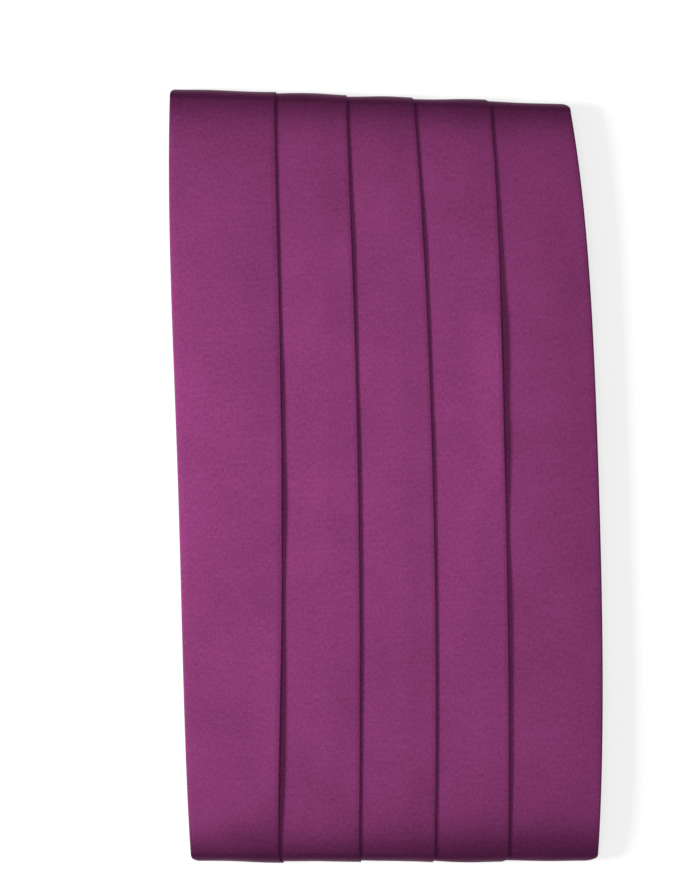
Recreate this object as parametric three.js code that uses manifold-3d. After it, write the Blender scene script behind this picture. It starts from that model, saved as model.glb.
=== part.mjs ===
// A pleated satin cummerbund lying face up, with both of its wings folded under and its straps put away flat.
// Millimetres. X runs across the pleats, Y along the cloth from the near fold to the far fold, and Z up from
// the surface that it lies on. The pleated cloth is one piece: it goes from the far wing's end round the far
// fold, over the face, round the near fold and back under the face to the near wing's end.
import * as THREE from "three";
import Module from "manifold-3d";

const wasm = await Module();
wasm.setup();

// Face, seen from above
const FACE_LENGTH = 264; // fold to fold, along the middle
const FACE_WIDTH = 144; // across the pleats, at mid length
const NARROWING_POWER = 3.5; // how late the face narrows towards a fold
const BOW = 2; // how far the middle of the face bows to the right
const SLANT_POWER = 3; // how near a fold its slant starts
const CORNER_POWER = 6; // how sharp the corners at a fold are

// The two folds, in shares of FACE_WIDTH: how much the face narrows on its way there, how much further its
// right corner reaches than its left, and how far each edge pulls in at its crest. The last column says how
// near a fold the crowned face comes down to it.
const ENDS = {
  near: { direction: -1, narrowing: 0.031, slant: 0.031, left: 0.018, right: 0.03, crownPower: 8 },
  far: { direction: 1, narrowing: 0.048, slant: -0.066, left: 0.008, right: 0.019, crownPower: 12 },
};

// Each pleat's folded edge, as a share of the width from the left
const PLEATS = [
  { near: 0.224, middle: 0.251, far: 0.259 },
  { near: 0.421, middle: 0.432, far: 0.44 },
  { near: 0.608, middle: 0.614, far: 0.616 },
  { near: 0.791, middle: 0.785, far: 0.805 },
];

// Cloth and its pleats
const CLOTH = 1; // thickness of the satin with its interfacing
const LAYER_GAP = 0.25; // air between two layers of a pleat
const UNDERLAP = 8; // how far each pleat folds back under itself
const HEM = 9; // how far the two long edges turn under
const RISE_GAP = 1.6; // clear of an inner fold, where a layer has come up to pass over it
const GATHER = 4; // what shows of each pleat at a wing's end
const TURN_STEPS = 2; // facets round a folded edge, an even number

// How the face lies between its folds, over what is folded away inside
const FOLD_INSIDE = 0.5; // inner radius of a fold
const EDGE_DROOP = 1; // how far the long edges hang at mid length
const SLACK = 0.2; // air over what is folded away
const FOLD_STEPS = 6; // facets round a fold
const FACE_STEPS = 12; // sections along the face

// Tabs that close the wings' gathered ends
const WING_END = 30; // from mid length to where a wing's pleats end
const TAB_WALL = 1;
const TAB_LAP = 10; // how far a tab takes in the pleats
const TAB_LENGTH = 34;
const CLEARANCE = 0.3; // between any two pieces

// Straps with a sewn loop at the end
const STRAP_WIDTH = 25;
const STRAP_THICKNESS = 1.2;
const STRAP_LAP = 10; // how far a strap goes into its tab
const STRAP_REACH = 84; // from mid length to where a strap's loop starts
const STRAP_RETURN = 14; // length of the sewn-back end
const LOOP_TAPER = 5; // how far the loop takes to close
const SEAM_BITE = 0.05; // how far the sewn-back end sinks into the strap
const LOOP_STEPS = 4; // facets round a loop

// Flat hook that joins the two loops behind the back
const HOOK_THICKNESS = 1.2;
const HOOK_BAR = 2.5; // width of its two bars
const HOOK_SIDE = 2.5; // width of its side rails
const HOOK_TONGUE = 3;
const HOOK_MOUTH = 3; // the open slot that takes the other strap's loop
const HOOK_SIDE_PLAY = 0.5; // beside a loop, in a slot
const HOOK_CORNER = 1.5;
const CORNER_FACETS = 16; // to a full turn

// The channel that the far wing forms over the near strap and its hook
const CHANNEL_HALF = 18; // half of its flat width
const CHANNEL_SLOPE = 38; // width of each of its sides

// Sizes that follow
const LAYER = CLOTH + LAYER_GAP;
const SHEET = 3 * CLOTH + 2 * LAYER_GAP; // a pleat's three layers
const TAB_MOUTH = WING_END + TAB_LAP;
const TAB_TIP = TAB_MOUTH - TAB_LENGTH;
const TAB_THICKNESS = SHEET + 2 * (CLEARANCE + TAB_WALL);
const TAB_TIP_THICKNESS = STRAP_THICKNESS + 2 * (CLEARANCE + TAB_WALL);
const TAB_BASE = { near: 0, far: STRAP_THICKNESS + CLEARANCE }; // the far tab lies over the near strap
const LOOP_HEIGHT = HOOK_THICKNESS + 2 * (CLEARANCE + STRAP_THICKNESS);
const HOOK_SLOT = LOOP_HEIGHT / 2 + CLEARANCE;
const HOOK_LENGTH = HOOK_BAR + HOOK_SLOT + HOOK_BAR + HOOK_MOUTH + HOOK_TONGUE;
const HOOK_END = STRAP_REACH + HOOK_LENGTH + CLEARANCE;
const RETURN_END = STRAP_REACH - STRAP_RETURN - CLEARANCE;
const LIFT_START = TAB_MOUTH + 2 * TAB_LAP; // where a wing starts to rise into its tab
const LIFT_END = TAB_MOUTH + RISE_GAP;
const FOLD_RADIUS = FOLD_INSIDE + SHEET; // outer radius of a fold
const FOLD_AXIS = FACE_LENGTH / 2 - FOLD_RADIUS; // from mid length to the centre of a fold
const TAB_STACK = TAB_BASE.far + TAB_THICKNESS + CLEARANCE + SHEET;
const LOOP_STACK = LOOP_HEIGHT + CLEARANCE + 2 * SHEET;
const CROWN = Math.max(crownOver(TAB_STACK, TAB_MOUTH), crownOver(LOOP_STACK, HOOK_END));

// How the pleats lie at a wing's end, in millimetres from the left
const PLEAT_PITCH = GATHER + UNDERLAP + RISE_GAP;
const END_EDGES = PLEATS.map((_, i) => HEM + RISE_GAP + (i + 1) * PLEAT_PITCH);
const END_WIDTH = END_EDGES.at(-1) + GATHER + RISE_GAP + HEM;

const satin = new THREE.MeshStandardMaterial({ color: 0x8c3c76, roughness: 0.42, metalness: 0 });
const tabSatin = new THREE.MeshStandardMaterial({ color: 0x843870, roughness: 0.45, metalness: 0 });
const elastic = new THREE.MeshStandardMaterial({ color: 0x6e2c5c, roughness: 0.85, metalness: 0 });
const metal = new THREE.MeshStandardMaterial({ color: 0xb8b8bc, roughness: 0.3, metalness: 1 });

function mix(a, b, share) {
  return a + (b - a) * share;
}

// 0 at `from`, 1 at `to`, smooth between them
function ease(value, from, to) {
  const t = THREE.MathUtils.clamp((value - from) / (to - from), 0, 1);
  return t * t * (3 - 2 * t);
}

// Evenly spaced values, both ends included
function spread(from, to, steps) {
  return Array.from({ length: steps + 1 }, (_, i) => mix(from, to, i / steps));
}

// Points on an arc, angles in degrees
function arc(x, y, radius, from, to, steps) {
  return spread(from, to, steps).map((angle) => {
    const turn = THREE.MathUtils.degToRad(angle);
    return new THREE.Vector2(x + radius * Math.cos(turn), y + radius * Math.sin(turn));
  });
}

// The outline of a strip of cloth, from its middle line and its thickness
function ribbon(line, thickness) {
  const left = [];
  const right = [];
  line.forEach((point, i) => {
    const into = new THREE.Vector2().subVectors(point, line[i - 1] ?? point).normalize();
    const out = new THREE.Vector2().subVectors(line[i + 1] ?? point, point).normalize();
    const along = new THREE.Vector2().addVectors(into, out).normalize();
    const mitre = along.dot(i ? into : out);
    const across = new THREE.Vector2(-along.y, along.x).multiplyScalar(thickness / 2 / mitre);
    left.push(new THREE.Vector2().addVectors(point, across));
    right.unshift(new THREE.Vector2().subVectors(point, across));
  });
  return [...left, ...right];
}

// The middle line of the pleated cloth across the cummerbund, from its left hem to its right hem. Its x is
// measured from the left edge, and its y up from the back of the cloth.
function pleatLine({ width, edges }) {
  const low = CLOTH / 2;
  const middle = low + LAYER;
  const high = middle + LAYER;
  const turn = LAYER / 2;
  // From a folded edge in to the centre of its turn
  const inset = turn + CLOTH / 2 / Math.cos(Math.PI / 2 / TURN_STEPS);
  const line = [
    new THREE.Vector2(HEM, low),
    ...arc(inset, low + turn, turn, -90, -270, TURN_STEPS),
    new THREE.Vector2(HEM + RISE_GAP, middle),
  ];
  edges.forEach((edge) => {
    line.push(
      new THREE.Vector2(edge - UNDERLAP - RISE_GAP, high),
      ...arc(edge - inset, middle + turn, turn, 90, -90, TURN_STEPS),
      ...arc(edge - UNDERLAP, low + turn, turn, 90, 270, TURN_STEPS),
      new THREE.Vector2(edge, low),
    );
  });
  line.push(
    new THREE.Vector2(width - HEM - RISE_GAP, middle),
    ...arc(width - inset, low + turn, turn, 90, -90, TURN_STEPS),
    new THREE.Vector2(width - HEM, low),
  );
  return line;
}

// Width and pleat edges across the face at y
function faceLayout(y) {
  const { narrowing } = ENDS[y < 0 ? "near" : "far"];
  const width = FACE_WIDTH * (1 - narrowing * Math.abs(y / FOLD_AXIS) ** NARROWING_POWER);
  const t = (y / FOLD_AXIS + 1) / 2;
  const edges = PLEATS.map(({ near, middle, far }) => {
    const straight = mix(near, far, t);
    return width * (straight + (middle - (near + far) / 2) * 4 * t * (1 - t));
  });
  return { width, edges };
}

// The same across a wing, which narrows to its gathered end
function wingLayout(end, distance) {
  const fold = faceLayout(ENDS[end].direction * FOLD_AXIS);
  const spreadOut = Math.sin((Math.PI / 2) * ((distance - WING_END) / (FOLD_AXIS - WING_END)));
  return {
    width: mix(END_WIDTH, fold.width, spreadOut),
    edges: fold.edges.map((edge, i) => mix(END_EDGES[i], edge, spreadOut)),
  };
}

// How much of its crown the face has at a distance from mid length
function crownShare(end, distance) {
  return 1 - (distance / FOLD_AXIS) ** ENDS[end].crownPower;
}

// The crown that the face needs to lie over a stack of that height, at either end
function crownOver(stack, distance) {
  const share = Math.min(crownShare("near", distance), crownShare("far", distance));
  return (stack + SLACK - 2 * FOLD_RADIUS) / share;
}

// How much higher the face lies than straight between its folds: it is crowned, and beyond the tabs its long
// edges droop
function faceHeight(x, y) {
  const tabHalf = wingLayout("far", TAB_MOUTH).width / 2 + CLEARANCE + TAB_WALL;
  const beyondTab = Math.max(0, (Math.abs(x) - tabHalf) / (FACE_WIDTH / 2 - tabHalf));
  const droop = EDGE_DROOP * beyondTab ** 2 * (1 - (y / FOLD_AXIS) ** 2);
  return CROWN * crownShare(y < 0 ? "near" : "far", Math.abs(y)) - droop;
}

// How much higher a wing lies than flat: it rises into its tab, and the far one passes over the near strap
// and its hook too
function wingLift(end, x, distance) {
  const intoTab = ease(distance, LIFT_START, LIFT_END) * (TAB_BASE[end] + TAB_WALL + CLEARANCE);
  if (end === "near") return intoTab;
  const overLoop = ease(distance, LIFT_START, RETURN_END);
  const cover = mix(TAB_BASE.far, LOOP_HEIGHT + CLEARANCE, overLoop) * ease(distance, FOLD_AXIS, HOOK_END);
  const inChannel = ease(Math.abs(x), CHANNEL_HALF + CHANNEL_SLOPE, CHANNEL_HALF);
  return Math.max(intoTab, cover * inChannel);
}

// One section across the pleated cloth. `distance` is from mid length to the section, or to the centre of the
// fold that it is on, and `angle` goes from 0 on the face to 180 on a wing.
function clothSection(end, distance, angle) {
  const { direction, slant, left, right } = ENDS[end];
  const onWing = angle > 90;
  const y = direction * distance;
  const layout = onWing ? wingLayout(end, distance) : faceLayout(y);
  const turn = THREE.MathUtils.degToRad(angle);
  const crest = FACE_WIDTH * Math.sin(turn) ** CORNER_POWER;
  const skew = slant * FACE_WIDTH * (distance / FOLD_AXIS) ** SLANT_POWER;
  const bow = onWing ? 0 : BOW * (1 - (distance / FOLD_AXIS) ** 2);
  return ribbon(pleatLine(layout), CLOTH).map((point) => {
    const share = point.x / layout.width - 0.5;
    const pull = crest * 2 * share * (share < 0 ? left : right);
    const x = layout.width * share - pull;
    const reach = FOLD_INSIDE + point.y;
    const height = onWing ? wingLift(end, x, distance) : faceHeight(x, y);
    return new THREE.Vector3(
      x + bow,
      direction * (distance + reach * Math.sin(turn) + skew * share),
      FOLD_RADIUS + reach * Math.cos(turn) + height,
    );
  });
}

// Triangles between closed rings of as many points each, ring after ring
function joinRings(count, size, faces) {
  for (let ring = 0; ring < count - 1; ring += 1) {
    for (let i = 0; i < size; i += 1) {
      const next = (i + 1) % size;
      const here = ring * size;
      const there = here + size;
      faces.push(here + i, there + i, there + next, here + i, there + next, here + next);
    }
  }
}

function meshGeometry(points, faces) {
  const geometry = new THREE.BufferGeometry().setFromPoints(points);
  geometry.setIndex(faces);
  geometry.computeVertexNormals();
  return geometry;
}

function solidGeometry(solid) {
  const { vertProperties, triVerts } = solid.getMesh();
  const geometry = new THREE.BufferGeometry();
  geometry.setAttribute("position", new THREE.BufferAttribute(vertProperties, 3));
  geometry.setIndex(new THREE.BufferAttribute(triVerts, 1));
  geometry.computeVertexNormals();
  return geometry;
}

// The pleated cloth, through all its sections from the far wing's end to the near wing's end
function pleatedFront() {
  const onWing = [
    WING_END,
    LIFT_END,
    ...spread(LIFT_END, LIFT_START, 2).slice(1),
    RETURN_END,
    ...spread(RETURN_END, HOOK_END, 2).slice(1),
    ...spread(HOOK_END, FOLD_AXIS, 3).slice(1),
  ];
  const roundFold = spread(0, 180, FOLD_STEPS).slice(1, -1);
  const onFace = spread(90, -90, FACE_STEPS).map((u) => FOLD_AXIS * Math.sin(THREE.MathUtils.degToRad(u)));
  const sections = [
    ...onWing.map((distance) => clothSection("far", distance, 180)),
    ...roundFold.toReversed().map((angle) => clothSection("far", FOLD_AXIS, angle)),
    ...onFace.map((y) => clothSection(y < 0 ? "near" : "far", Math.abs(y), 0)),
    ...roundFold.map((angle) => clothSection("near", FOLD_AXIS, angle)),
    ...onWing.toReversed().map((distance) => clothSection("near", distance, 180)),
  ];
  const size = sections[0].length;
  const faces = [];
  joinRings(sections.length, size, faces);
  const endOutline = ribbon(pleatLine({ width: END_WIDTH, edges: END_EDGES }), CLOTH);
  const cap = THREE.ShapeUtils.triangulateShape(endOutline, []);
  const last = (sections.length - 1) * size;
  cap.forEach(([a, b, c]) => faces.push(a, c, b, last + a, last + b, last + c));
  return new THREE.Mesh(meshGeometry(sections.flat(), faces), satin);
}

// A flat sleeve that takes in a wing's end at its mouth and a strap at its tip
function tab(end) {
  const { direction } = ENDS[end];
  const stations = [
    { distance: TAB_MOUTH, width: wingLayout(end, TAB_MOUTH).width, thickness: TAB_THICKNESS },
    { distance: WING_END, width: END_WIDTH, thickness: TAB_THICKNESS },
    { distance: TAB_TIP, width: STRAP_WIDTH, thickness: TAB_TIP_THICKNESS },
  ];
  const ring = ({ distance, width, thickness }, wall) => {
    const half = width / 2 + CLEARANCE + TAB_WALL - wall;
    const low = TAB_BASE[end] + wall;
    const high = TAB_BASE[end] + thickness - wall;
    const corners = [[-half, low], [half, low], [half, high], [-half, high]];
    return corners.map(([x, z]) => new THREE.Vector3(direction * x, direction * distance, z));
  };
  const inside = stations.map((station) => ring(station, TAB_WALL));
  const outside = stations.map((station) => ring(station, 0)).toReversed();
  const points = [...inside, ...outside].flat();
  const size = inside[0].length;
  const faces = [];
  joinRings(points.length / size + 1, size, faces);
  const closed = faces.map((index) => index % points.length); // the last ring is the first again
  return new THREE.Mesh(meshGeometry(points, closed), tabSatin);
}

// A strap, extruded from its side view. That view's x runs from the strap's own tab towards its loop.
function strap(end, other, levels) {
  const inTab = TAB_BASE[end] + TAB_WALL + CLEARANCE + STRAP_THICKNESS / 2;
  const run = levels.at(-1).z;
  const noseRadius = (LOOP_HEIGHT - STRAP_THICKNESS) / 2;
  const seam = run + STRAP_THICKNESS - SEAM_BITE;
  const line = [
    new THREE.Vector2(-TAB_TIP - STRAP_LAP, inTab),
    new THREE.Vector2(-TAB_TIP, inTab),
    ...levels.map(({ distance, z }) => new THREE.Vector2(distance, z)),
    ...arc(STRAP_REACH + HOOK_BAR, run + noseRadius, noseRadius, -90, 90, LOOP_STEPS),
    new THREE.Vector2(STRAP_REACH - CLEARANCE, run + 2 * noseRadius),
    new THREE.Vector2(STRAP_REACH - LOOP_TAPER, seam),
    new THREE.Vector2(STRAP_REACH - STRAP_RETURN, seam),
  ];
  const outline = ribbon(line, STRAP_THICKNESS).map(({ x, y }) => [x, y]);
  const solid = new wasm.CrossSection([outline], "NonZero").extrude(STRAP_WIDTH, 0, 0, [1, 1], true);
  const geometry = solidGeometry(solid);
  geometry.rotateX(Math.PI / 2);
  geometry.rotateZ((ENDS[other].direction * Math.PI) / 2);
  return new THREE.Mesh(geometry, elastic);
}

// The near strap goes down to the surface and under the far tab
function nearStrap() {
  return strap("near", "far", [{ distance: TAB_TIP, z: STRAP_THICKNESS / 2 }]);
}

// The far strap goes over the near tab and down onto the near wing
function farStrap() {
  const above = CLEARANCE + STRAP_THICKNESS / 2;
  return strap("far", "near", [
    { distance: TAB_TIP, z: TAB_TIP_THICKNESS + above },
    { distance: WING_END, z: TAB_THICKNESS + above },
    { distance: TAB_MOUTH, z: TAB_THICKNESS + above },
    { distance: LIFT_START, z: SHEET + above },
  ]);
}

// A rectangle in plan, from its limits
function rectangle(left, right, bottom, top) {
  return new wasm.CrossSection([[left, bottom], [right, bottom], [right, top], [left, top]]);
}

// The flat hook, with a closed slot for the near strap's loop and an open one for the far strap's
function strapHook() {
  const slotHalf = STRAP_WIDTH / 2 + HOOK_SIDE_PLAY;
  const half = slotHalf + HOOK_SIDE;
  const slot = STRAP_REACH + HOOK_BAR;
  const mouth = slot + HOOK_SLOT + HOOK_BAR;
  const plate = rectangle(-half, half, STRAP_REACH, STRAP_REACH + HOOK_LENGTH)
    .offset(-HOOK_CORNER, "Miter")
    .offset(HOOK_CORNER, "Round", 2, CORNER_FACETS)
    .subtract(rectangle(-slotHalf, slotHalf, slot, slot + HOOK_SLOT))
    .subtract(rectangle(-slotHalf, half + HOOK_SIDE, mouth, mouth + HOOK_MOUTH));
  const mesh = new THREE.Mesh(solidGeometry(plate.extrude(HOOK_THICKNESS)), metal);
  mesh.position.z = STRAP_THICKNESS + CLEARANCE;
  return mesh;
}

const pieces = {
  pleated_front: pleatedFront(),
  near_tab: tab("near"),
  far_tab: tab("far"),
  near_strap: nearStrap(),
  far_strap: farStrap(),
  strap_hook: strapHook(),
};

const cummerbund = new THREE.Group();
for (const [name, mesh] of Object.entries(pieces)) {
  mesh.name = name;
  cummerbund.add(mesh);
}

// The origin is at the middle of the whole piece, on the surface that it lies on
const centre = new THREE.Box3().setFromObject(cummerbund, true).getCenter(new THREE.Vector3());
for (const mesh of cummerbund.children) {
  mesh.position.x -= centre.x;
  mesh.position.y -= centre.y;
}

export default cummerbund;
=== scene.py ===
"""A pleated satin cummerbund, folded flat and lying face up on a pale floor, seen from straight above.

The shapes are worked out in millimetres and turned to metres as each mesh is made. X runs across the pleats,
Y along the cloth from the near fold to the far fold, and Z up from the floor.
"""

import math

import bpy
import numpy as np
from mathutils import Matrix, Vector


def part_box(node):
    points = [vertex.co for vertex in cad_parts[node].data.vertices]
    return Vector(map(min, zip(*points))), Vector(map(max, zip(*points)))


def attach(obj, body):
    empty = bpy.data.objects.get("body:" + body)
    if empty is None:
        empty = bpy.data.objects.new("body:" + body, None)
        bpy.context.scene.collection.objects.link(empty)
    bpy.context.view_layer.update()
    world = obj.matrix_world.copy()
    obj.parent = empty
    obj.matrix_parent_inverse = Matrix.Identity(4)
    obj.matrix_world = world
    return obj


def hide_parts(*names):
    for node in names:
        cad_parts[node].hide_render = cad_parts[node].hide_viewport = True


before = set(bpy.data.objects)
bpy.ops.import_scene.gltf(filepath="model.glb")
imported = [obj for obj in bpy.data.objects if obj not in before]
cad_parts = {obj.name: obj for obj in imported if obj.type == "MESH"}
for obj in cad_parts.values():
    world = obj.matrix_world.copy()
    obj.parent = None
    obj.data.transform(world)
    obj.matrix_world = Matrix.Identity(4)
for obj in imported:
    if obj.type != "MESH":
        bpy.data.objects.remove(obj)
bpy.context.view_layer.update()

bl_info = {
    "name": "Folded cummerbund",
    "version": (1, 0, 0),
    "blender": (4, 5, 0),
    "location": "View3D > Sidebar > Cummerbund",
    "description": "Builds a pleated satin cummerbund around its CAD frame, with its studio",
    "category": "Object",
}

MM = 0.001

# Face of the cummerbund
FACE_LENGTH = 264.0
FACE_WIDTH = 144.0
NARROWING_POWER = 3.5
BOW = 2.0
SLANT_POWER = 3.0
CORNER_POWER = 6.0
CROWN_POWER = 26.0
FALL_POWER = 16.0
FALL_SPAN = (-0.2, 0.3)  # where across the face the fall sets in and is full, as shares from its middle
EDGE_DROOP = 1.0
DROOP_START = 46.0
FACE_WAVES = 0.15
FOLD_WAVES = 0.35

# The two folds. Narrowing, slant and how far the corners pull in are shares of the face's width, and fall is
# how much lower the fold is pressed at its right, in millimetres
ENDS = {
    "near": {
        "direction": -1, "narrowing": 0.031, "slant": 0.031, "left": 0.018, "right": 0.03, "fall": 1.1,
    },
    "far": {
        "direction": 1, "narrowing": 0.048, "slant": -0.066, "left": 0.008, "right": 0.019, "fall": 0.0,
    },
}

# Each pleat's folded edge, as a share of the width from the left
PLEATS = [
    {"near": 0.217, "middle": 0.249, "far": 0.262},
    {"near": 0.4145, "middle": 0.43, "far": 0.441},
    {"near": 0.599, "middle": 0.607, "far": 0.61},
    {"near": 0.7795, "middle": 0.779, "far": 0.8},
]

# How high each pleat's soft edge stands over the next panel, in millimetres, at shares of the face's length
# from the far fold
PLEAT_RISES = [
    {"at": 0.0, "first": 1.0, "second": 1.0, "third": 1.0, "fourth": 1.0},
    {"at": 0.1, "first": 1.0, "second": 1.1, "third": 1.0, "fourth": 1.0},
    {"at": 0.19, "first": 1.0, "second": 1.4, "third": 1.4, "fourth": 1.4},
    {"at": 0.25, "first": 1.0, "second": 1.1, "third": 1.0, "fourth": 1.7},
    {"at": 0.3, "first": 1.0, "second": 1.2, "third": 1.2, "fourth": 2.4},
    {"at": 0.35, "first": 1.3, "second": 1.0, "third": 1.0, "fourth": 2.2},
    {"at": 0.4, "first": 1.4, "second": 1.1, "third": 1.0, "fourth": 1.8},
    {"at": 0.45, "first": 1.3, "second": 1.2, "third": 1.2, "fourth": 2.1},
    {"at": 0.51, "first": 1.7, "second": 1.2, "third": 1.2, "fourth": 1.6},
    {"at": 0.56, "first": 1.6, "second": 1.2, "third": 1.0, "fourth": 1.0},
    {"at": 0.61, "first": 1.2, "second": 1.2, "third": 1.0, "fourth": 1.1},
    {"at": 0.66, "first": 1.2, "second": 1.2, "third": 1.0, "fourth": 1.5},
    {"at": 0.71, "first": 1.4, "second": 1.2, "third": 1.0, "fourth": 1.5},
    {"at": 0.77, "first": 1.8, "second": 1.2, "third": 1.0, "fourth": 1.3},
    {"at": 0.87, "first": 2.0, "second": 1.0, "third": 1.0, "fourth": 1.3},
    {"at": 0.92, "first": 1.85, "second": 1.0, "third": 1.0, "fourth": 1.2},
    {"at": 0.97, "first": 1.4, "second": 1.0, "third": 1.0, "fourth": 1.0},
    {"at": 1.0, "first": 1.0, "second": 1.0, "third": 1.0, "fourth": 1.0},
]
PRESSED_RISE = 1.0
RISE_BLEND = 0.015  # over this share of the length to both sides, one rise passes into the next
EVEN_TOP = 1.7  # what an edge stands higher than this comes from its own last stretch

# Pleats
UNDERLAP = 9.0
HEM = 9.0
CREASE = 1.0  # how far before a hidden fold a panel starts to lie on it
LAYER_AIR = 0.06
GATHERED_AIR = 0.85
NOSE_REACH = 0.5  # how far a pleat's edge sticks out, as a share of half its height
EDGE_RADIUS = 0.45
EDGE_STAND = 1.0  # how far the pleats' edges stand over the cloth at a fold
CREST_LEVEL = 0.6  # the height within the layers that keeps its place where a fold turns
CREST_PRESS = 0.5  # how thick the layers are pressed there, as a share of their thickness on the face
FOLD_RADIUS = 5.0
WING_END = 30.0
FIRST_GATHER = 1.6
GATHER_PITCH = 13.6
END_MARGIN = 14.6

# Mesh resolution
TURN_POINTS = 9
RUN_POINTS = 3
PANEL_POINTS = 16
PANEL_SAMPLES = 200
PANEL_BLEND = 20  # samples to both sides over which a panel's bends are rounded
FACE_STATIONS = 110
FOLD_STATIONS = 13
WING_STATIONS = 32
TAB_RINGS = 22
TAB_EDGE_POINTS = 42
CORNER_POINTS = 7
LOOP_POINTS = 9

# Tabs
TAB_MOUTH = 40.0
TAB_TIP = 6.0
TAB_WALL = 1.0
CLEARANCE = 0.3
TAB_THICKNESS = 6.1
TAB_TIP_THICKNESS = 3.8
TAB_CLOTH = 0.6
TAB_CORNER = 1.7
TAB_INNER_CORNER = 0.3
TAB_HEM = 6.0
HEM_SEAM = 1.1  # from the hem's inner edge to its row of stitches
STRAP_SEAM = 3.0  # from a tab's tip to the row that holds its strap
RIDGE_DEPTH = 0.18
RIDGES_FULL = (18.0, 26.0)  # the ridges are deepest between these distances from mid length

# Straps
STRAP_WIDTH = 25.0
STRAP_THICKNESS = 1.2
STRAP_LAP = 10.0
STRAP_REACH = 84.0
STRAP_RETURN = 14.0
LOOP_TAPER = 5.0
LOOP_HEIGHT = 4.2
HOOK_BAR = 2.5
RIBS = 16
RIB_DEPTH = 0.14
STRAP_STEP = 1.2
SEAM_AIR = 0.02
SEAM_MARGIN = 2.0

# Sewing thread
STITCH_PITCH = 2.6
STITCH_LENGTH = 2.0
STITCH_ARCH = 0.1
STITCH_RISE = 0.06  # how deep a row lies in a tab's face
THREAD_RADIUS = 0.17

# The channel that the far wing forms over the near strap and its hook
CHANNEL_HALF = 18.0
CHANNEL_SLOPE = 38.0
HOOK_END = 97.7
LIFT_START = 60.0
LIFT_END = 41.6
RETURN_END = 69.7
CLOTH_ALLOWANCE = 3.5 / 3  # a layer of cloth with its air, where the straps lie over the pleats


def linear(hex_colour):
    """An sRGB hex colour as the linear colour that Blender works in."""
    parts = [int(hex_colour[i:i + 2], 16) / 255 for i in (1, 3, 5)]
    return [c / 12.92 if c <= 0.04045 else ((c + 0.055) / 1.055) ** 2.4 for c in parts]


def smooth(value, start, stop):
    """0 at start, 1 at stop, smooth between them."""
    t = np.clip((value - start) / (stop - start), 0.0, 1.0)
    return t * t * (3.0 - 2.0 * t)


def lengths_along(points):
    """How far along a line each of its points lies."""
    steps = np.linalg.norm(np.diff(points, axis=0), axis=1)
    return np.concatenate(([0.0], np.cumsum(steps)))


def line_normals(points):
    """Unit normals to the left of a line, at each of its points."""
    along = np.gradient(points, axis=0)
    along /= np.linalg.norm(along, axis=1)[:, None]
    return np.column_stack((-along[:, 1], along[:, 0]))


def middle_point():
    """Mid length on the cloth's centre line, which is midway between the two tabs."""
    corners = [Vector(corner) for node in ("near_tab", "far_tab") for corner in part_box(node)]
    x, y = (sum((corner[i] for corner in corners), 0.0) / len(corners) for i in (0, 1))
    return np.array([x, y, 0.0]) / MM


def crown():
    """How high the middle of the face rises over its folds, so that the pleats reach the frame's height."""
    low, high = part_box("pleated_front")
    return (high[2] - low[2]) / MM - 2 * FOLD_RADIUS - EDGE_STAND


# Pleated cloth

def face_layout(y):
    """Width of the face and its pleat edges at y."""
    reach = y / fold_axis()
    narrowing = ENDS["near" if y < 0 else "far"]["narrowing"]
    width = FACE_WIDTH * (1 - narrowing * abs(reach) ** NARROWING_POWER)
    from_near = (reach + 1) / 2
    edges = []
    for pleat in PLEATS:
        straight = pleat["near"] + (pleat["far"] - pleat["near"]) * from_near
        bend = pleat["middle"] - (pleat["near"] + pleat["far"]) / 2
        edges.append(width * (straight + bend * 4 * from_near * (1 - from_near)))
    return width, np.array(edges)


def fold_axis():
    """From mid length to the centre of a fold."""
    return FACE_LENGTH / 2 - FOLD_RADIUS


def gathered_layout():
    """Width and pleat edges at a wing's gathered end."""
    edges = HEM + FIRST_GATHER + GATHER_PITCH * np.arange(1, len(PLEATS) + 1)
    return edges[-1] + END_MARGIN, edges


def wing_layout(end, distance):
    """Width of a wing and its pleat edges."""
    fold_width, fold_edges = face_layout(ENDS[end]["direction"] * fold_axis())
    end_width, end_edges = gathered_layout()
    open_share = math.sin(math.pi / 2 * (distance - WING_END) / (fold_axis() - WING_END))
    width = end_width + (fold_width - end_width) * open_share
    return width, end_edges + (fold_edges - end_edges) * open_share


def turn(x, height, radius, start, stop, reach=1.0):
    """Points round a folded edge, angles in degrees. The turn sticks out by reach times its radius."""
    angles = np.radians(np.linspace(start, stop, TURN_POINTS))
    return np.column_stack((x + reach * radius * np.cos(angles), height + radius * np.sin(angles)))


def run(x0, x1, height):
    """Points along a level stretch, without its two ends."""
    xs = np.linspace(x0, x1, RUN_POINTS + 2)[1:-1]
    return np.column_stack((xs, np.full_like(xs, height)))


def panel(x0, x1, over, start, passing, top):
    """Points across a panel, which rises evenly over the next pleat's inner folds and on to its edge."""
    xs = np.linspace(x0, x1, PANEL_POINTS + 2)[1:-1]
    even = start + (min(top, EVEN_TOP) - start) * (over - x0) / (x1 - x0)
    reached = max(passing, even)
    fine = np.linspace(x0, x1, PANEL_SAMPLES)
    heights = np.interp(fine, (x0, over, x1), (start, reached, top))
    before = 2 * start - heights[PANEL_BLEND:0:-1]
    after = 2 * top - heights[-2:-2 - PANEL_BLEND:-1]
    window = np.hanning(2 * PANEL_BLEND + 1)
    window /= window.sum()
    blended = np.convolve(np.concatenate((before, heights, after)), window, mode="valid")
    return np.column_stack((xs, np.interp(xs, fine, blended)))


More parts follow.
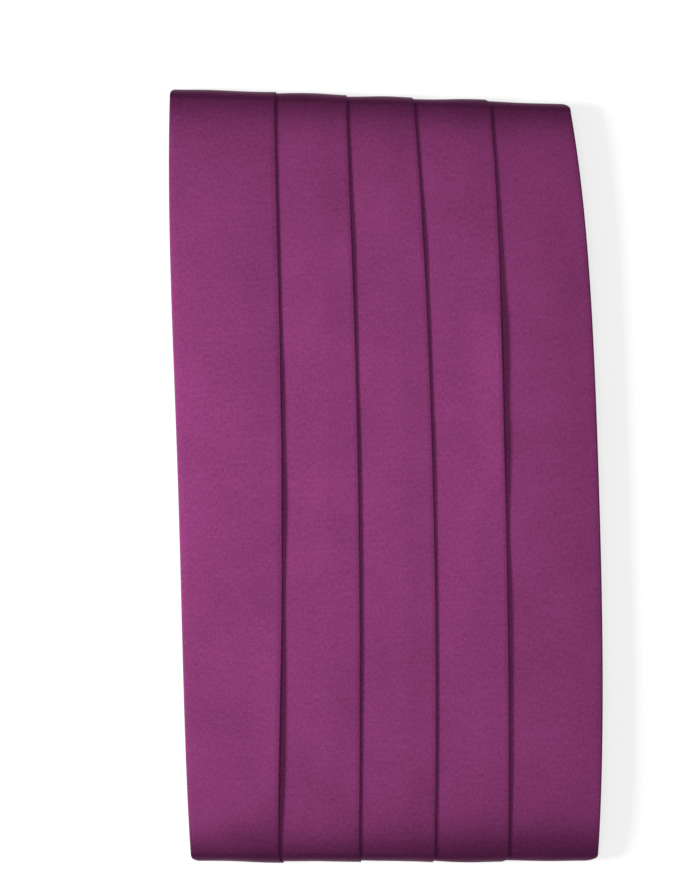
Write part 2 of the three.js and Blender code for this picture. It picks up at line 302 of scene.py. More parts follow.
def pleat_line(width, edges, rises, cloth, air):
    """The cloth's middle line across one section, from its left hem to its right hem."""
    low = cloth / 2
    middle = low + cloth + air
    passing = middle + cloth + air
    inner = (cloth + air) / 2
    left = EDGE_RADIUS + cloth / 2
    hem_low = middle - 2 * EDGE_RADIUS
    line = [run(HEM, left, min(low, hem_low)), turn(left, middle - EDGE_RADIUS, EDGE_RADIUS, -90, -270)]
    start_x, start = left, middle
    for edge, rise in zip(edges, rises):
        top = max(low + rise, passing)
        nose = (top - middle) / 2
        nose_x = edge - NOSE_REACH * nose - cloth / 2
        under_x = edge - UNDERLAP
        line += [
            panel(start_x, nose_x, under_x - CREASE, start, passing, top),
            turn(nose_x, middle + nose, nose, 90, -90, NOSE_REACH),
            run(nose_x, under_x, middle),
            turn(under_x, low + inner, inner, 90, 270),
            run(under_x, edge, low),
        ]
        start_x, start = edge, low
    right = width - left
    line += [
        panel(start_x, right, width - HEM - CREASE, start, middle, middle),
        turn(right, middle - EDGE_RADIUS, EDGE_RADIUS, 90, -90),
        run(right, width - HEM, min(low, hem_low)),
    ]
    return np.concatenate(line)


def strip_outline(line, thickness):
    """Both faces of a strip of cloth, from its middle line."""
    across = line_normals(line) * thickness / 2
    return np.concatenate((line + across, (line - across)[::-1]))


def rises_at(y, lift):
    """How high each pleat's edge stands at y on the face."""
    share = 0.5 - y / (2 * fold_axis())
    stations = [row["at"] for row in PLEAT_RISES]
    places = [share - RISE_BLEND, share, share + RISE_BLEND]
    rises = []
    for name in ("first", "second", "third", "fourth"):
        heights = [row[name] for row in PLEAT_RISES]
        rise = sum(np.interp(places, stations, heights)) / len(places)
        rises.append(PRESSED_RISE + (rise - PRESSED_RISE) * lift)
    return rises


def soft_waves(x, y):
    """Slow unevenness of cloth that lies loosely, from -1 to 1: two crossed waves, some centimetres long."""
    wave = np.sin(x / 17.0 + 0.9 * np.sin(y / 38.0)) * np.cos(y / 29.0 + 0.7)
    return 0.6 * wave + 0.4 * np.sin(x / 8.3 - y / 23.0 + 1.9)


def face_tilt(distance):
    """How steeply the crowned face falls towards its fold, in degrees."""
    steepness = CROWN_POWER * (distance / fold_axis()) ** (CROWN_POWER - 1)
    return math.degrees(math.atan(crown() * steepness / fold_axis()))


def face_height(x, y):
    """How much higher the face lies than straight between its folds: crowned, with drooping long edges."""
    reach = abs(y) / fold_axis()
    half = FACE_WIDTH / 2
    beyond = np.clip((np.abs(x) - DROOP_START) / (half - DROOP_START), 0.0, None)
    loose = 1 - reach ** 4
    waves = FACE_WAVES * loose * soft_waves(x, y)
    return crown() * (1 - reach ** CROWN_POWER) - EDGE_DROOP * beyond ** 2 * (1 - reach ** 2) + waves


def wing_lift(end, x, distance):
    """How high a wing's underside lies. It rises into its tab, and the far one passes over strap and hook."""
    base = STRAP_THICKNESS + CLEARANCE if end == "far" else 0.0
    into_tab = smooth(distance, LIFT_START, LIFT_END) * (base + TAB_WALL + CLEARANCE)
    if end == "near":
        return np.full_like(x, into_tab)
    over_loop = smooth(distance, LIFT_START, RETURN_END)
    cover = base + (LOOP_HEIGHT + CLEARANCE - base) * over_loop
    cover = cover * smooth(distance, fold_axis(), HOOK_END)
    in_channel = smooth(np.abs(x), CHANNEL_HALF + CHANNEL_SLOPE, CHANNEL_HALF)
    return np.maximum(into_tab, cover * in_channel)


def cloth_section(end, distance, angle, cloth, lift):
    """One section across the pleated cloth, as points in millimetres round its middle point. The angle is
    how far the cloth has turned down: 0 on top of the face, 90 at a fold's crest and 180 on a wing."""
    direction = ENDS[end]["direction"]
    y = direction * distance
    on_wing = angle > 90
    width, edges = wing_layout(end, distance) if on_wing else face_layout(y)
    gathered = smooth(distance, fold_axis(), WING_END) if on_wing else 0.0
    air = LAYER_AIR + (GATHERED_AIR - LAYER_AIR) * gathered
    on_face = angle < 90 and distance < fold_axis()
    rises = rises_at(y, lift) if on_face else [PRESSED_RISE] * len(PLEATS)
    outline = strip_outline(pleat_line(width, edges, rises, cloth, air), cloth)
    share = outline[:, 0] / width - 0.5
    height = outline[:, 1]
    sheet = 3 * cloth + 2 * air
    radians = math.radians(angle)
    pull = np.where(share < 0, ENDS[end]["left"], ENDS[end]["right"])
    pull = pull * FACE_WIDTH * math.sin(radians) ** CORNER_POWER * 2 * share
    x = width * share - pull
    inside = FOLD_RADIUS - 3 * cloth - 2 * LAYER_AIR
    reach = inside + height
    crest_reach = inside + CREST_LEVEL + (height - CREST_LEVEL) * CREST_PRESS
    skew = ENDS[end]["slant"] * FACE_WIDTH * (distance / fold_axis()) ** SLANT_POWER
    uneven = FOLD_WAVES * soft_waves(1.7 * x, 40.0 * direction) * math.sin(radians)
    along = distance + (crest_reach + uneven) * math.sin(radians) + skew * share
    if on_wing and distance < fold_axis():
        z = wing_lift(end, x, distance) + sheet - height
    else:
        fall = ENDS[end]["fall"] * smooth(share, *FALL_SPAN) * (distance / fold_axis()) ** FALL_POWER
        z = FOLD_RADIUS + reach * math.cos(radians) - fall * (1 + math.cos(radians)) / 2
        if on_face:
            z = z + face_height(x, y)
    bow = 0.0 if on_wing else BOW * (1 - (distance / fold_axis()) ** 2)
    return np.column_stack((x + bow, direction * along, z))


def cloth_stations():
    """Where the cloth's sections lie, from the far wing's end to the near one's: end, distance and angle."""
    axis = fold_axis()
    wing = np.linspace(WING_END, axis, WING_STATIONS)
    fold = np.linspace(face_tilt(axis), 180, FOLD_STATIONS + 2)[1:-1]
    face = axis * np.sin(np.linspace(math.pi / 2, -math.pi / 2, FACE_STATIONS))
    stations = [("far", distance, 180) for distance in wing]
    stations += [("far", axis, angle) for angle in fold[::-1]]
    for y in face:
        end = "near" if y < 0 else "far"
        stations.append((end, abs(y), face_tilt(abs(y))))
    stations += [("near", axis, angle) for angle in fold]
    stations += [("near", distance, 180) for distance in wing[::-1]]
    return stations


# Meshes

def ring_faces(rings, size):
    """Quads between closed rings of as many points each."""
    faces = []
    for ring in range(rings - 1):
        here = ring * size
        there = here + size
        for i in range(size):
            j = (i + 1) % size
            faces.append((here + i, here + j, there + j, there + i))
    return faces


def strip_cap(size, first, flip):
    """Quads that close the end of a strip, whose outline goes along one face and back along the other."""
    half = size // 2
    faces = []
    for i in range(half - 1):
        quad = (first + i, first + i + 1, first + size - 2 - i, first + size - 1 - i)
        faces.append(quad[::-1] if flip else quad)
    return faces


def add_mesh(name, points, faces, material, uv=None):
    """A new object from points in millimetres round the cummerbund's middle point."""
    mesh = bpy.data.meshes.new(name)
    metres = (np.asarray(points) + middle_point()) * MM
    mesh.from_pydata([tuple(p) for p in metres], [], faces)
    if uv is not None:
        layer = mesh.uv_layers.new(name="cloth")
        loops = np.empty(len(mesh.loops), dtype=np.int32)
        mesh.loops.foreach_get("vertex_index", loops)
        layer.data.foreach_set("uv", (np.asarray(uv)[loops] * MM).ravel())
    mesh.polygons.foreach_set("use_smooth", [True] * len(mesh.polygons))
    mesh.materials.append(material)
    mesh.validate()
    mesh.update()
    obj = bpy.data.objects.new(name, mesh)
    bpy.context.scene.collection.objects.link(obj)
    return obj


def pleated_cloth(cloth, lift, material):
    """The whole pleated cloth as one closed mesh."""
    stations = cloth_stations()
    sections = [cloth_section(*station, cloth, lift) for station in stations]
    size = len(sections[0])
    points = np.concatenate(sections)
    faces = ring_faces(len(sections), size)
    faces += strip_cap(size, 0, flip=True)
    faces += strip_cap(size, size * (len(sections) - 1), flip=False)
    width, edges = face_layout(0.0)
    line = pleat_line(width, edges, rises_at(0.0, lift), cloth, LAYER_AIR)
    across = lengths_along(line)
    along = lengths_along(np.array([section.mean(axis=0) for section in sections]))
    uv = np.column_stack((
        np.tile(np.concatenate((across, across[::-1])), len(sections)),
        np.repeat(along, size),
    ))
    return add_mesh("satin_front", points, faces, material, uv), across[-1], along[-1]


# Tabs

def tab_base(end):
    """The far tab lies over the near strap, the near one on the floor."""
    return STRAP_THICKNESS + CLEARANCE if end == "far" else 0.0


def oblong(half, low, high, radius):
    """A flat oblong with rounded corners, seen along the cloth, counter-clockwise from its lower right."""
    points = []
    corners = [(half, low, -90), (half, high, 0), (-half, high, 90), (-half, low, 180)]
    for x, z, start in corners:
        centre = (x - math.copysign(radius, x), z + (radius if z == low else -radius))
        angles = np.radians(np.linspace(start, start + 90, CORNER_POINTS))
        points.append(np.array(centre) + radius * np.column_stack((np.cos(angles), np.sin(angles))))
        if start in (0, 180):
            xs = np.linspace(half - radius, radius - half, TAB_EDGE_POINTS)[1:-1]
            xs = xs if start == 0 else -xs
            points.append(np.column_stack((xs, np.full_like(xs, z))))
    return np.concatenate(points)


def tab_size(end, distance):
    """Width and thickness of a tab at a distance from mid length."""
    end_width = gathered_layout()[0]
    stations = [TAB_TIP, WING_END, TAB_MOUTH]
    widths = [STRAP_WIDTH, end_width, wing_layout(end, TAB_MOUTH)[0]]
    thicknesses = [TAB_TIP_THICKNESS, TAB_THICKNESS, TAB_THICKNESS]
    spread = np.interp(distance, stations, widths)
    return spread + 2 * (CLEARANCE + TAB_WALL), np.interp(distance, stations, thicknesses)


def tab_ring(end, distance, inset):
    """One ring round a tab, inset from its outside. The gathers underneath show as soft ridges."""
    width, thickness = tab_size(end, distance)
    low = tab_base(end) + inset
    high = tab_base(end) + thickness - inset
    radius = max(TAB_INNER_CORNER, TAB_CORNER - inset)
    points = oblong(width / 2 - inset, low, high, radius)
    ridges = RIDGE_DEPTH * smooth(distance, TAB_TIP, RIDGES_FULL[0])
    ridges = ridges * smooth(distance, TAB_MOUTH - TAB_HEM, RIDGES_FULL[1])
    across = points[:, 0] / (width / 2)
    wave = np.cos(14 * across + 0.6 * np.sin(5 * across)) - 1
    upper = points[:, 1] > (low + high) / 2
    points[:, 1] += np.where(upper, ridges * wave, 0.0)
    y = np.full(len(points), ENDS[end]["direction"] * distance)
    return np.column_stack((points[:, 0], y, points[:, 1]))


def tab_cloth(end, material):
    """A sleeve of satin with a turned hem at its mouth, open at both ends. Its profile goes from the mouth to
    the tip and back inside, as distances from mid length and insets from the outside."""
    hem = TAB_MOUTH - TAB_HEM
    profile = [(TAB_MOUTH, TAB_CLOTH / 2), (TAB_MOUTH - 0.15, 0.08), (TAB_MOUTH - 0.5, 0.0)]
    profile += [(TAB_MOUTH - TAB_HEM * share, 0.0) for share in (0.3, 0.5, 0.7, 0.76)]
    profile += [(hem + HEM_SEAM, 0.14), (hem + 0.7, 0.0), (hem + 0.2, 0.0), (hem - 0.2, 0.16)]
    seam = TAB_TIP + STRAP_SEAM
    profile += [(distance, 0.12) for distance in np.linspace(hem - 1.0, seam + 0.4, TAB_RINGS)]
    profile += [(seam, 0.22), (seam - 0.4, 0.12), (TAB_TIP + 0.4, 0.05), (TAB_TIP, TAB_CLOTH / 2)]
    inside = [(TAB_TIP + 0.3, TAB_CLOTH), (WING_END - 1.0, TAB_CLOTH), (TAB_MOUTH - 0.3, TAB_CLOTH)]
    rings = [tab_ring(end, distance, inset) for distance, inset in profile + inside]
    size = len(rings[0])
    points = np.concatenate(rings)
    faces = ring_faces(len(rings) + 1, size)
    faces = [tuple(index % len(points) for index in face) for face in faces]
    if ENDS[end]["direction"] > 0:
        faces = [face[::-1] for face in faces]
    uv = np.column_stack((points[:, 0], points[:, 1] + 2 * points[:, 2]))
    return add_mesh(f"{end}_satin_tab", points, faces, material, uv)


def stitches(name, starts, ends, material):
    """Lock stitches of sewing thread, each a short round bar that dips into the cloth at both ends."""
    points, faces = [], []
    shares = (0.0, 0.12, 0.5, 0.88, 1.0)
    girths = (0.25, 0.85, 1.0, 0.85, 0.25)
    sides = 6
    for start, end in zip(starts, ends):
        start, end = np.asarray(start, float), np.asarray(end, float)
        along = (end - start) / np.linalg.norm(end - start)
        side = np.cross(along, (0.0, 0.0, 1.0))
        side /= np.linalg.norm(side)
        up = np.cross(side, along)
        first = len(points)
        for share, girth in zip(shares, girths):
            middle = start + (end - start) * share + up * STITCH_ARCH * math.sin(math.pi * share)
            for i in range(sides):
                angle = 2 * math.pi * i / sides
                offset = side * math.cos(angle) + up * math.sin(angle)
                points.append(middle + offset * THREAD_RADIUS * girth)
        rings = len(shares)
        faces += [tuple(first + index for index in face) for face in ring_faces(rings, sides)]
        faces.append(tuple(first + i for i in range(sides))[::-1])
        faces.append(tuple(first + sides * (rings - 1) + i for i in range(sides)))
    return add_mesh(name, points, faces, material)


def stitch_row(start, end):
    """Starts and ends of the stitches along a straight row."""
    start, end = np.asarray(start, float), np.asarray(end, float)
    length = np.linalg.norm(end - start)
    count = int(length / STITCH_PITCH)
    along = (end - start) / length
    margin = (length - count * STITCH_PITCH) / 2
    starts = [start + along * margin + along * STITCH_PITCH * i for i in range(count)]
    return starts, [point + along * STITCH_LENGTH for point in starts]


def tab_stitches(end, material):
    """The rows of stitches across a tab, at its hem and where its strap is sewn in."""
    starts, ends = [], []
    for distance in (TAB_MOUTH - TAB_HEM + HEM_SEAM, TAB_TIP + STRAP_SEAM):
        width, thickness = tab_size(end, distance)
        half = width / 2 - TAB_CORNER
        y = ENDS[end]["direction"] * distance
        for height in (STITCH_RISE, thickness - STITCH_RISE):
            z = tab_base(end) + height
            row = stitch_row((-half, y, z), (half, y, z))
            starts += row[0]
            ends += row[1]
    return stitches(f"{end}_tab_stitches", starts, ends, material)


# Straps

def rounded(points, times):
    """A line of points with its corners cut, again and again."""
    points = np.asarray(points, float)
    for _ in range(times):
        before, after = points[:-1], points[1:]
        inner = np.stack((before * 0.75 + after * 0.25, before * 0.25 + after * 0.75), axis=1)
        points = np.concatenate((points[:1], inner.reshape(-1, 2), points[-1:]))
    return points


def even_steps(points, step):
    """The same line with evenly spaced points."""
    lengths = lengths_along(points)
    places = np.linspace(0.0, lengths[-1], max(2, round(lengths[-1] / step)))
    return np.column_stack([np.interp(places, lengths, points[:, i]) for i in (0, 1)])


def strap_line(end, levels):
    """A strap's middle line seen from the side, from its own tab to its sewn-back end. The first value is
    how far a point lies beyond mid length towards the strap's loop, the second is its height."""
    in_tab = tab_base(end) + TAB_WALL + CLEARANCE + STRAP_THICKNESS / 2
    level = levels[-1][1]
    radius = (LOOP_HEIGHT - STRAP_THICKNESS) / 2
    seam = level + STRAP_THICKNESS + SEAM_AIR
    bend = [
        (STRAP_REACH + HOOK_BAR + radius * math.cos(angle), level + radius + radius * math.sin(angle))
        for angle in np.linspace(-math.pi / 2, math.pi / 2, LOOP_POINTS)
    ]
    line = [(-TAB_TIP - STRAP_LAP, in_tab), (-TAB_TIP, in_tab), *levels, *bend]
    line += [(STRAP_REACH - CLEARANCE, level + 2 * radius), (STRAP_REACH - LOOP_TAPER, seam)]
    line += [(STRAP_REACH - STRAP_RETURN, seam)]
    return even_steps(rounded(line, 2), STRAP_STEP)


def strap_section():
    """The outline across a strap: lengthwise ribs on both faces, and round selvedges."""
    half = STRAP_WIDTH / 2 - STRAP_THICKNESS / 2
    across = np.linspace(-half, half, 4 * RIBS + 1)
    ribs = 0.5 - 0.5 * np.cos(math.pi * RIBS * (across + half) / half)
    height = STRAP_THICKNESS / 2 - RIB_DEPTH * ribs
    bottom = np.column_stack((across, -height))
    top = np.column_stack((across[::-1], height))
    angles = np.radians((-60, -25, 25, 60))
    radius = STRAP_THICKNESS / 2
    right = np.column_stack((half + radius * np.cos(angles), radius * np.sin(angles)))
    left = np.column_stack((-half - radius * np.cos(angles), -radius * np.sin(angles)))
    return np.concatenate((bottom, right, top, left))


def strap_levels():
    """Where each strap goes on its way to its loop: the near one under the far tab, the far one over the near
    tab and down onto the near wing."""
    above = CLEARANCE + STRAP_THICKNESS / 2
    wing = 3 * CLOTH_ALLOWANCE
    return {
        "near": [(TAB_TIP, STRAP_THICKNESS / 2)],
        "far": [
            (TAB_TIP, TAB_TIP_THICKNESS + above),
            (WING_END, TAB_THICKNESS + above),
            (TAB_MOUTH, TAB_THICKNESS + above),
            (LIFT_START, wing + above),
        ],
    }


def elastic_strap(end, material):
    """A woven elastic strap, turned back through its loop. It runs from its own tab to the other side."""
    direction = -ENDS[end]["direction"]
    line = strap_line(end, strap_levels()[end])
    section = strap_section()
    rings = []
    for point, normal in zip(line, line_normals(line)):
        place = point + section[:, 1:2] * normal
        rings.append(np.column_stack((section[:, 0], direction * place[:, 0], place[:, 1])))
    size = len(section)
    faces = ring_faces(len(rings), size)
    last = size * (len(rings) - 1)
    faces += [tuple(range(size))[::-1], tuple(last + i for i in range(size))]
    if direction > 0:
        faces = [face[::-1] for face in faces]
    uv = np.column_stack((np.tile(section[:, 0], len(rings)), np.repeat(lengths_along(line), size)))
    return add_mesh(f"{end}_elastic_strap", np.concatenate(rings), faces, material, uv)


def strap_stitches(end, material):
    """The two rows that hold a strap's turned-back end."""
    direction = -ENDS[end]["direction"]
    top = strap_levels()[end][-1][1] + 1.5 * STRAP_THICKNESS - SEAM_AIR
    half = STRAP_WIDTH / 2 - SEAM_MARGIN
    starts, ends = [], []
    for distance in (STRAP_REACH - STRAP_RETURN + SEAM_MARGIN, STRAP_REACH - LOOP_TAPER - SEAM_MARGIN):
        row = stitch_row((-half, direction * distance, top), (half, direction * distance, top))
        starts += row[0]
        ends += row[1]
    return stitches(f"{end}_strap_stitches", starts, ends, material)


# Materials

def add_node(tree, kind, inputs=None, **settings):
    """Adds a node with its settings. An input that is a socket is linked, any other is set."""
    node = tree.nodes.new(kind)
    for name, value in settings.items():
        setattr(node, name, value)
    for socket, value in (inputs or {}).items():
        if isinstance(value, bpy.types.NodeSocket):
            tree.links.new(value, node.inputs[socket])
        else:
            node.inputs[socket].default_value = value
    return node


def new_tree(name):
    """An empty material and its node tree."""
    material = bpy.data.materials.new(name)
    material.use_nodes = True
    material.node_tree.nodes.clear()
    return material, material.node_tree


def finish_tree(tree, shader):
    """Sends the shader to the material's surface."""
    add_node(tree, "ShaderNodeOutputMaterial", {"Surface": shader.outputs[0]})


def shade(colour, factor):
    """A linear colour made lighter or darker, with alpha."""
    return (*[c * factor for c in colour], 1.0)


def satin(name, colour):
    """Polyester satin: filament yarn woven in long floats along the cloth, dyed, then pressed. The floats
    give a soft broad sheen that takes the dye's colour, and their small unevenness gives a fine grain."""
    material, tree = new_tree(name)
    uv = add_node(tree, "ShaderNodeUVMap", uv_map="cloth").outputs["UV"]
    # Real floats lie 0.15 mm apart; they are drawn 0.45 mm apart, or the picture would not show them
    float_spacing = 0.45 * MM
    along = add_node(tree, "ShaderNodeMapping", {"Vector": uv, "Scale": (1.0, 0.3, 1.0)})
    floats = add_node(tree, "ShaderNodeTexNoise", {
        "Vector": along.outputs[0], "Scale": 1 / float_spacing, "Detail": 2.0, "Roughness": 0.6,
    })
    across = add_node(tree, "ShaderNodeMapping", {"Vector": uv, "Scale": (0.12, 1.0, 1.0)})
    picks = add_node(tree, "ShaderNodeTexNoise", {
        "Vector": across.outputs[0], "Scale": 1 / (0.7 * MM), "Detail": 2.0, "Roughness": 0.5,
    })
    mottling = add_node(tree, "ShaderNodeTexNoise", {
        "Vector": uv, "Scale": 1 / (26 * MM), "Detail": 3.0, "Roughness": 0.55,
    })
    grain = add_node(tree, "ShaderNodeMath", {
        0: picks.outputs["Fac"], 1: 0.4, 2: floats.outputs["Fac"],
    }, operation="MULTIPLY_ADD")
    flecks = add_node(tree, "ShaderNodeTexNoise", {
        "Vector": uv, "Scale": 1 / (1.1 * MM), "Detail": 3.0, "Roughness": 0.7,
    })
    soft = add_node(tree, "ShaderNodeMath", {
        0: mottling.outputs["Fac"], 1: 0.6, 2: flecks.outputs["Fac"],
    }, operation="MULTIPLY_ADD")
    tone = add_node(tree, "ShaderNodeMath", {0: grain.outputs[0], 1: soft.outputs[0]}, operation="ADD")
    tint = add_node(tree, "ShaderNodeMapRange", {
        "Value": tone.outputs[0], "From Min": 1.15, "From Max": 1.85,
    })
    base = add_node(tree, "ShaderNodeMix", {
        "Factor": tint.outputs[0], 6: shade(colour, 0.77), 7: shade(colour, 1.23),
    }, data_type="RGBA")
    bump = add_node(tree, "ShaderNodeBump", {
        "Strength": 0.25, "Distance": 0.06 * MM, "Height": grain.outputs[0],
    })
    shader = add_node(tree, "ShaderNodeBsdfPrincipled", {
        "Base Color": base.outputs[2],
        "Normal": bump.outputs[0],
        "Metallic": 0.88,
        "Roughness": 0.6,
        "Anisotropic": 0.72,
        "Specular IOR Level": 0.1,
        "Tangent": add_node(tree, "ShaderNodeTangent", direction_type="UV_MAP", uv_map="cloth").outputs[0],
    })
    finish_tree(tree, shader)
    return material


def woven_elastic(name, colour):
    """Woven elastic: rubber cores under matt polyester yarn. Its cross threads show as fine even ribs, and it
    has almost no gloss."""
    material, tree = new_tree(name)
    uv = add_node(tree, "ShaderNodeUVMap", uv_map="cloth").outputs["UV"]
    picks = add_node(tree, "ShaderNodeTexWave", {
        "Vector": uv, "Scale": 1 / (2 * math.pi * 0.2 * MM), "Distortion": 0.6, "Detail": 1.0,
    }, bands_direction="Y")
    fuzz = add_node(tree, "ShaderNodeTexNoise", {"Vector": uv, "Scale": 1 / (0.5 * MM), "Detail": 3.0})
    tone = add_node(tree, "ShaderNodeMath", {
        0: picks.outputs["Fac"], 1: fuzz.outputs["Fac"],
    }, operation="ADD")
    base = add_node(tree, "ShaderNodeMix", {
        "Factor": tone.outputs[0], 6: shade(colour, 0.7), 7: shade(colour, 1.05),
    }, data_type="RGBA")
    bump = add_node(tree, "ShaderNodeBump", {
        "Strength": 0.5, "Distance": 0.12 * MM, "Height": tone.outputs[0],
    })
    shader = add_node(tree, "ShaderNodeBsdfPrincipled", {
        "Base Color": base.outputs[2], "Normal": bump.outputs[0], "Roughness": 0.85,
        "Specular IOR Level": 0.25, "Sheen Weight": 0.2, "Sheen Roughness": 0.6,
    })
    finish_tree(tree, shader)
    return material


def thread(name, colour):
    """Spun polyester sewing thread, dyed to match, with a slight gloss on its twist."""
    material, tree = new_tree(name)
    place = add_node(tree, "ShaderNodeTexCoord").outputs["Object"]
    twist = add_node(tree, "ShaderNodeTexNoise", {"Vector": place, "Scale": 1 / (0.3 * MM), "Detail": 2.0})
    base = add_node(tree, "ShaderNodeMix", {
        "Factor": twist.outputs["Fac"], 6: shade(colour, 0.75), 7: shade(colour, 1.2),
    }, data_type="RGBA")
    shader = add_node(tree, "ShaderNodeBsdfPrincipled", {
        "Base Color": base.outputs[2], "Roughness": 0.55, "Specular IOR Level": 0.5,
    })
    finish_tree(tree, shader)
    return material


def nickel(name, colour):
    """Nickel-plated steel, stamped and tumbled: bright, with soft blurred gloss and faint scuffs."""
    material, tree = new_tree(name)
    place = add_node(tree, "ShaderNodeTexCoord").outputs["Object"]
    scuffs = add_node(tree, "ShaderNodeTexNoise", {"Vector": place, "Scale": 1 / (1.5 * MM), "Detail": 6.0})
    gloss = add_node(tree, "ShaderNodeMapRange", {
        "Value": scuffs.outputs["Fac"], "From Min": 0.3, "From Max": 0.7, "To Min": 0.2, "To Max": 0.38,
    })
    bump = add_node(tree, "ShaderNodeBump", {
        "Strength": 0.15, "Distance": 0.02 * MM, "Height": scuffs.outputs["Fac"],
    })
    shader = add_node(tree, "ShaderNodeBsdfPrincipled", {
        "Base Color": shade(colour, 1.0), "Metallic": 1.0, "Roughness": gloss.outputs[0],
        "Normal": bump.outputs[0],
    })
    finish_tree(tree, shader)
    return material


def light_table(name, colour):
    """Matt white acrylic lit from below, as under goods that are shown on white. It keeps shadows faint."""
    material, tree = new_tree(name)
    place = add_node(tree, "ShaderNodeTexCoord").outputs["Object"]
    haze = add_node(tree, "ShaderNodeTexNoise", {"Vector": place, "Scale": 1 / (300 * MM), "Detail": 2.0})
    base = add_node(tree, "ShaderNodeMix", {
        "Factor": haze.outputs["Fac"], 6: shade(colour, 0.97), 7: shade(colour, 1.0),
    }, data_type="RGBA")
    shader = add_node(tree, "ShaderNodeBsdfPrincipled", {
        "Base Color": base.outputs[2], "Roughness": 0.95, "Specular IOR Level": 0.1,
        "Emission Color": (1.0, 1.0, 1.0, 1.0), "Emission Strength": 0.7,
    })
    finish_tree(tree, shader)
    return material


# Studio

PHOTO_SIZE = (700, 891)
PHOTO_MM_PER_PIXEL = 0.3412
PHOTO_CENTRE_OFFSET = (-12.9, 10.3)  # from the cummerbund's middle to the picture's, in millimetres
PHOTO_ROLL = math.radians(1.86)
CAMERA_HEIGHT = 1.15
SENSOR = 36.0

# Lights, in metres and watts. The key stands low at the left, so that the pleats cast narrow shadows
WORLD_STRENGTH = 0.48
KEY = {"place": (-1.2, 0.0, 0.87), "size": (0.4, 0.4), "power": 38.0}
OVERHEAD = {"place": (-0.1, 0.0, 1.5), "size": (0.8, 0.6), "power": 9.5}
FLOOR_HALF = 3.0


def add_camera():
    """The photograph's view, from straight above."""
    data = bpy.data.cameras.new("camera")
    face_height_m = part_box("pleated_front")[1][2]
    distance = CAMERA_HEIGHT - face_height_m
    picture_height = PHOTO_SIZE[1] * PHOTO_MM_PER_PIXEL * MM
    data.sensor_width = SENSOR
    data.lens = SENSOR * distance / picture_height
    camera = bpy.data.objects.new("camera", data)
    right = Vector((math.cos(PHOTO_ROLL), -math.sin(PHOTO_ROLL), 0.0))
    up = Vector((math.sin(PHOTO_ROLL), math.cos(PHOTO_ROLL), 0.0))
    place = (right * PHOTO_CENTRE_OFFSET[0] + up * PHOTO_CENTRE_OFFSET[1]) * MM
    rotation = Matrix((right, up, Vector((0.0, 0.0, 1.0)))).transposed()
    camera.matrix_world = Matrix.Translation((place.x, place.y, CAMERA_HEIGHT)) @ rotation.to_4x4()
    bpy.context.scene.collection.objects.link(camera)
    bpy.context.scene.camera = camera


def add_softbox(name, place, size, power):
    """A rectangular area light that faces the cummerbund."""
    data = bpy.data.lights.new(name, "AREA")
    data.shape = "RECTANGLE"
    data.size, data.size_y = size
    data.energy = power
    light = bpy.data.objects.new(name, data)
    aim = (-Vector(place)).to_track_quat("-Z", "Y")
    light.matrix_world = Matrix.Translation(place) @ aim.to_matrix().to_4x4()
    bpy.context.scene.collection.objects.link(light)


def add_world(strength):
    """Plain even fill from all round."""
    world = bpy.data.worlds.new("studio")
    world.use_nodes = True
    world.node_tree.nodes.clear()
    tree = world.node_tree
    background = add_node(tree, "ShaderNodeBackground", {"Color": (1.0, 1.0, 1.0, 1.0), "Strength": strength})
    add_node(tree, "ShaderNodeOutputWorld", {"Surface": background.outputs[0]})
    bpy.context.scene.world = world


class CummerbundSizes(bpy.types.PropertyGroup):
    """Sizes that a user would change."""

    cloth: bpy.props.FloatProperty(
        name="Cloth", description="Thickness of the satin with its interfacing, in millimetres", default=0.42,
    )
    lift: bpy.props.FloatProperty(
        name="Pleat lift", description="How openly the pleats' edges stand", default=1.0, subtype="FACTOR",
    )


class CummerbundColours(bpy.types.PropertyGroup):
    """Colours that a user would change."""

    satin: bpy.props.FloatVectorProperty(
        name="Satin", description="Colour of the dyed satin", default=linear("#572247"), subtype="COLOR",
    )
    floor: bpy.props.FloatVectorProperty(
        name="Floor", description="Colour of the studio floor", default=linear("#808080"), subtype="COLOR",
    )
    elastic: bpy.props.FloatVectorProperty(
        name="Elastic", description="Colour of the straps", default=linear("#6e2c5c"), subtype="COLOR",
    )
    metal: bpy.props.FloatVectorProperty(
        name="Metal", description="Colour of the hook's plating", default=linear("#c9c6c0"), subtype="COLOR",
    )


class CUMMERBUND_OT_stage(bpy.types.Operator):
    """Adds the camera, the floor and the studio light"""

    bl_idname = "cummerbund.stage"
    bl_label = "Stage"

    def execute(self, context):
        add_camera()
        add_world(WORLD_STRENGTH)
        add_softbox("key", **KEY)
        add_softbox("overhead", **OVERHEAD)
        corners = [(-1, -1), (1, -1), (1, 1), (-1, 1)]
        mesh = bpy.data.meshes.new("floor")
        mesh.from_pydata([(x * FLOOR_HALF, y * FLOOR_HALF, 0) for x, y in corners], [], [(0, 1, 2, 3)])
        mesh.materials.append(light_table("white_acrylic", context.scene.cummerbund_colours.floor))
        floor = bpy.data.objects.new("floor", mesh)
        context.scene.collection.objects.link(floor)
        context.scene.view_settings.view_transform = "Standard"
        return {"FINISHED"}


class CUMMERBUND_OT_pleated_front(bpy.types.Operator):
    """Adds the pleated satin cloth with its folds and wings"""

    bl_idname = "cummerbund.pleated_front"
    bl_label = "Pleated front"

    def execute(self, context):
        sizes = context.scene.cummerbund_sizes
        material = satin("pressed_satin", context.scene.cummerbund_colours.satin)
        front, width, length = pleated_cloth(sizes.cloth, sizes.lift, material)
        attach(front, "root")
        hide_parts("pleated_front")
        return {"FINISHED"}


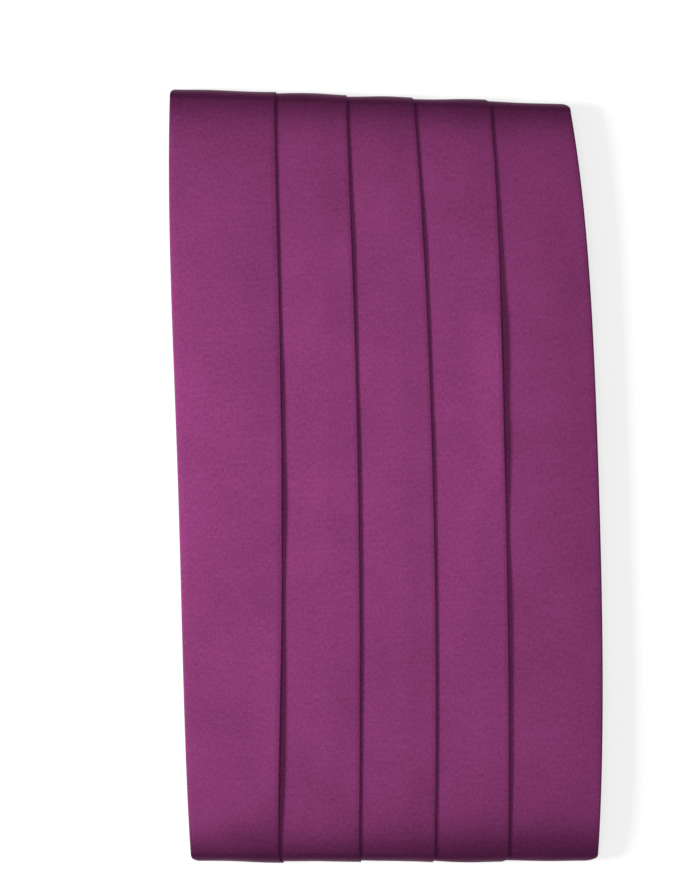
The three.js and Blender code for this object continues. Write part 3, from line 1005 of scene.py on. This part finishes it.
class CUMMERBUND_OT_tabs(bpy.types.Operator):
    """Adds the two satin tabs that take in the gathered ends of the cloth"""

    bl_idname = "cummerbund.tabs"
    bl_label = "Tabs"

    def execute(self, context):
        colour = context.scene.cummerbund_colours.satin
        material = satin("tab_satin_cloth", [0.92 * c for c in colour])
        sewing = thread("sewing_thread", colour)
        for end in ENDS:
            tab = tab_cloth(end, material)
            rows = tab_stitches(end, sewing)
            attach(tab, "root")
            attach(rows, "root")
            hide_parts(f"{end}_tab")
        return {"FINISHED"}


class CUMMERBUND_OT_straps(bpy.types.Operator):
    """Adds the two elastic straps with their sewn loops"""

    bl_idname = "cummerbund.straps"
    bl_label = "Straps"

    def execute(self, context):
        colour = context.scene.cummerbund_colours.elastic
        material = woven_elastic("ribbed_elastic", colour)
        sewing = thread("strap_thread", colour)
        for end in ENDS:
            strap = elastic_strap(end, material)
            rows = strap_stitches(end, sewing)
            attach(strap, "root")
            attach(rows, "root")
            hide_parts(f"{end}_strap")
        return {"FINISHED"}


class CUMMERBUND_OT_hook(bpy.types.Operator):
    """Gives the strap hook its plated finish"""

    bl_idname = "cummerbund.hook"
    bl_label = "Strap hook"

    def execute(self, context):
        material = nickel("nickel_plate", context.scene.cummerbund_colours.metal)
        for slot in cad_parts["strap_hook"].material_slots:
            slot.material = material
        return {"FINISHED"}


class CUMMERBUND_PT_panel(bpy.types.Panel):
    """The cummerbund's sizes, colours and pieces"""

    bl_idname = "CUMMERBUND_PT_panel"
    bl_label = "Folded cummerbund"
    bl_space_type = "VIEW_3D"
    bl_region_type = "UI"
    bl_category = "Cummerbund"

    def draw(self, context):
        layout = self.layout
        for settings in (context.scene.cummerbund_sizes, context.scene.cummerbund_colours):
            for name in settings.__annotations__:
                layout.prop(settings, name)
        for operator in ("stage", "pleated_front", "tabs", "straps", "hook"):
            layout.operator(f"cummerbund.{operator}")


CLASSES = [
    CummerbundSizes,
    CummerbundColours,
    CUMMERBUND_OT_stage,
    CUMMERBUND_OT_pleated_front,
    CUMMERBUND_OT_tabs,
    CUMMERBUND_OT_straps,
    CUMMERBUND_OT_hook,
    CUMMERBUND_PT_panel,
]


def register():
    for cls in CLASSES:
        bpy.utils.register_class(cls)
    bpy.types.Scene.cummerbund_sizes = bpy.props.PointerProperty(type=CummerbundSizes)
    bpy.types.Scene.cummerbund_colours = bpy.props.PointerProperty(type=CummerbundColours)


def unregister():
    del bpy.types.Scene.cummerbund_colours
    del bpy.types.Scene.cummerbund_sizes
    for cls in reversed(CLASSES):
        bpy.utils.unregister_class(cls)


def main():
    register()
    bpy.ops.cummerbund.stage()
    bpy.ops.cummerbund.pleated_front()
    bpy.ops.cummerbund.tabs()
    bpy.ops.cummerbund.straps()
    bpy.ops.cummerbund.hook()


if __name__ == "__main__":
    main()
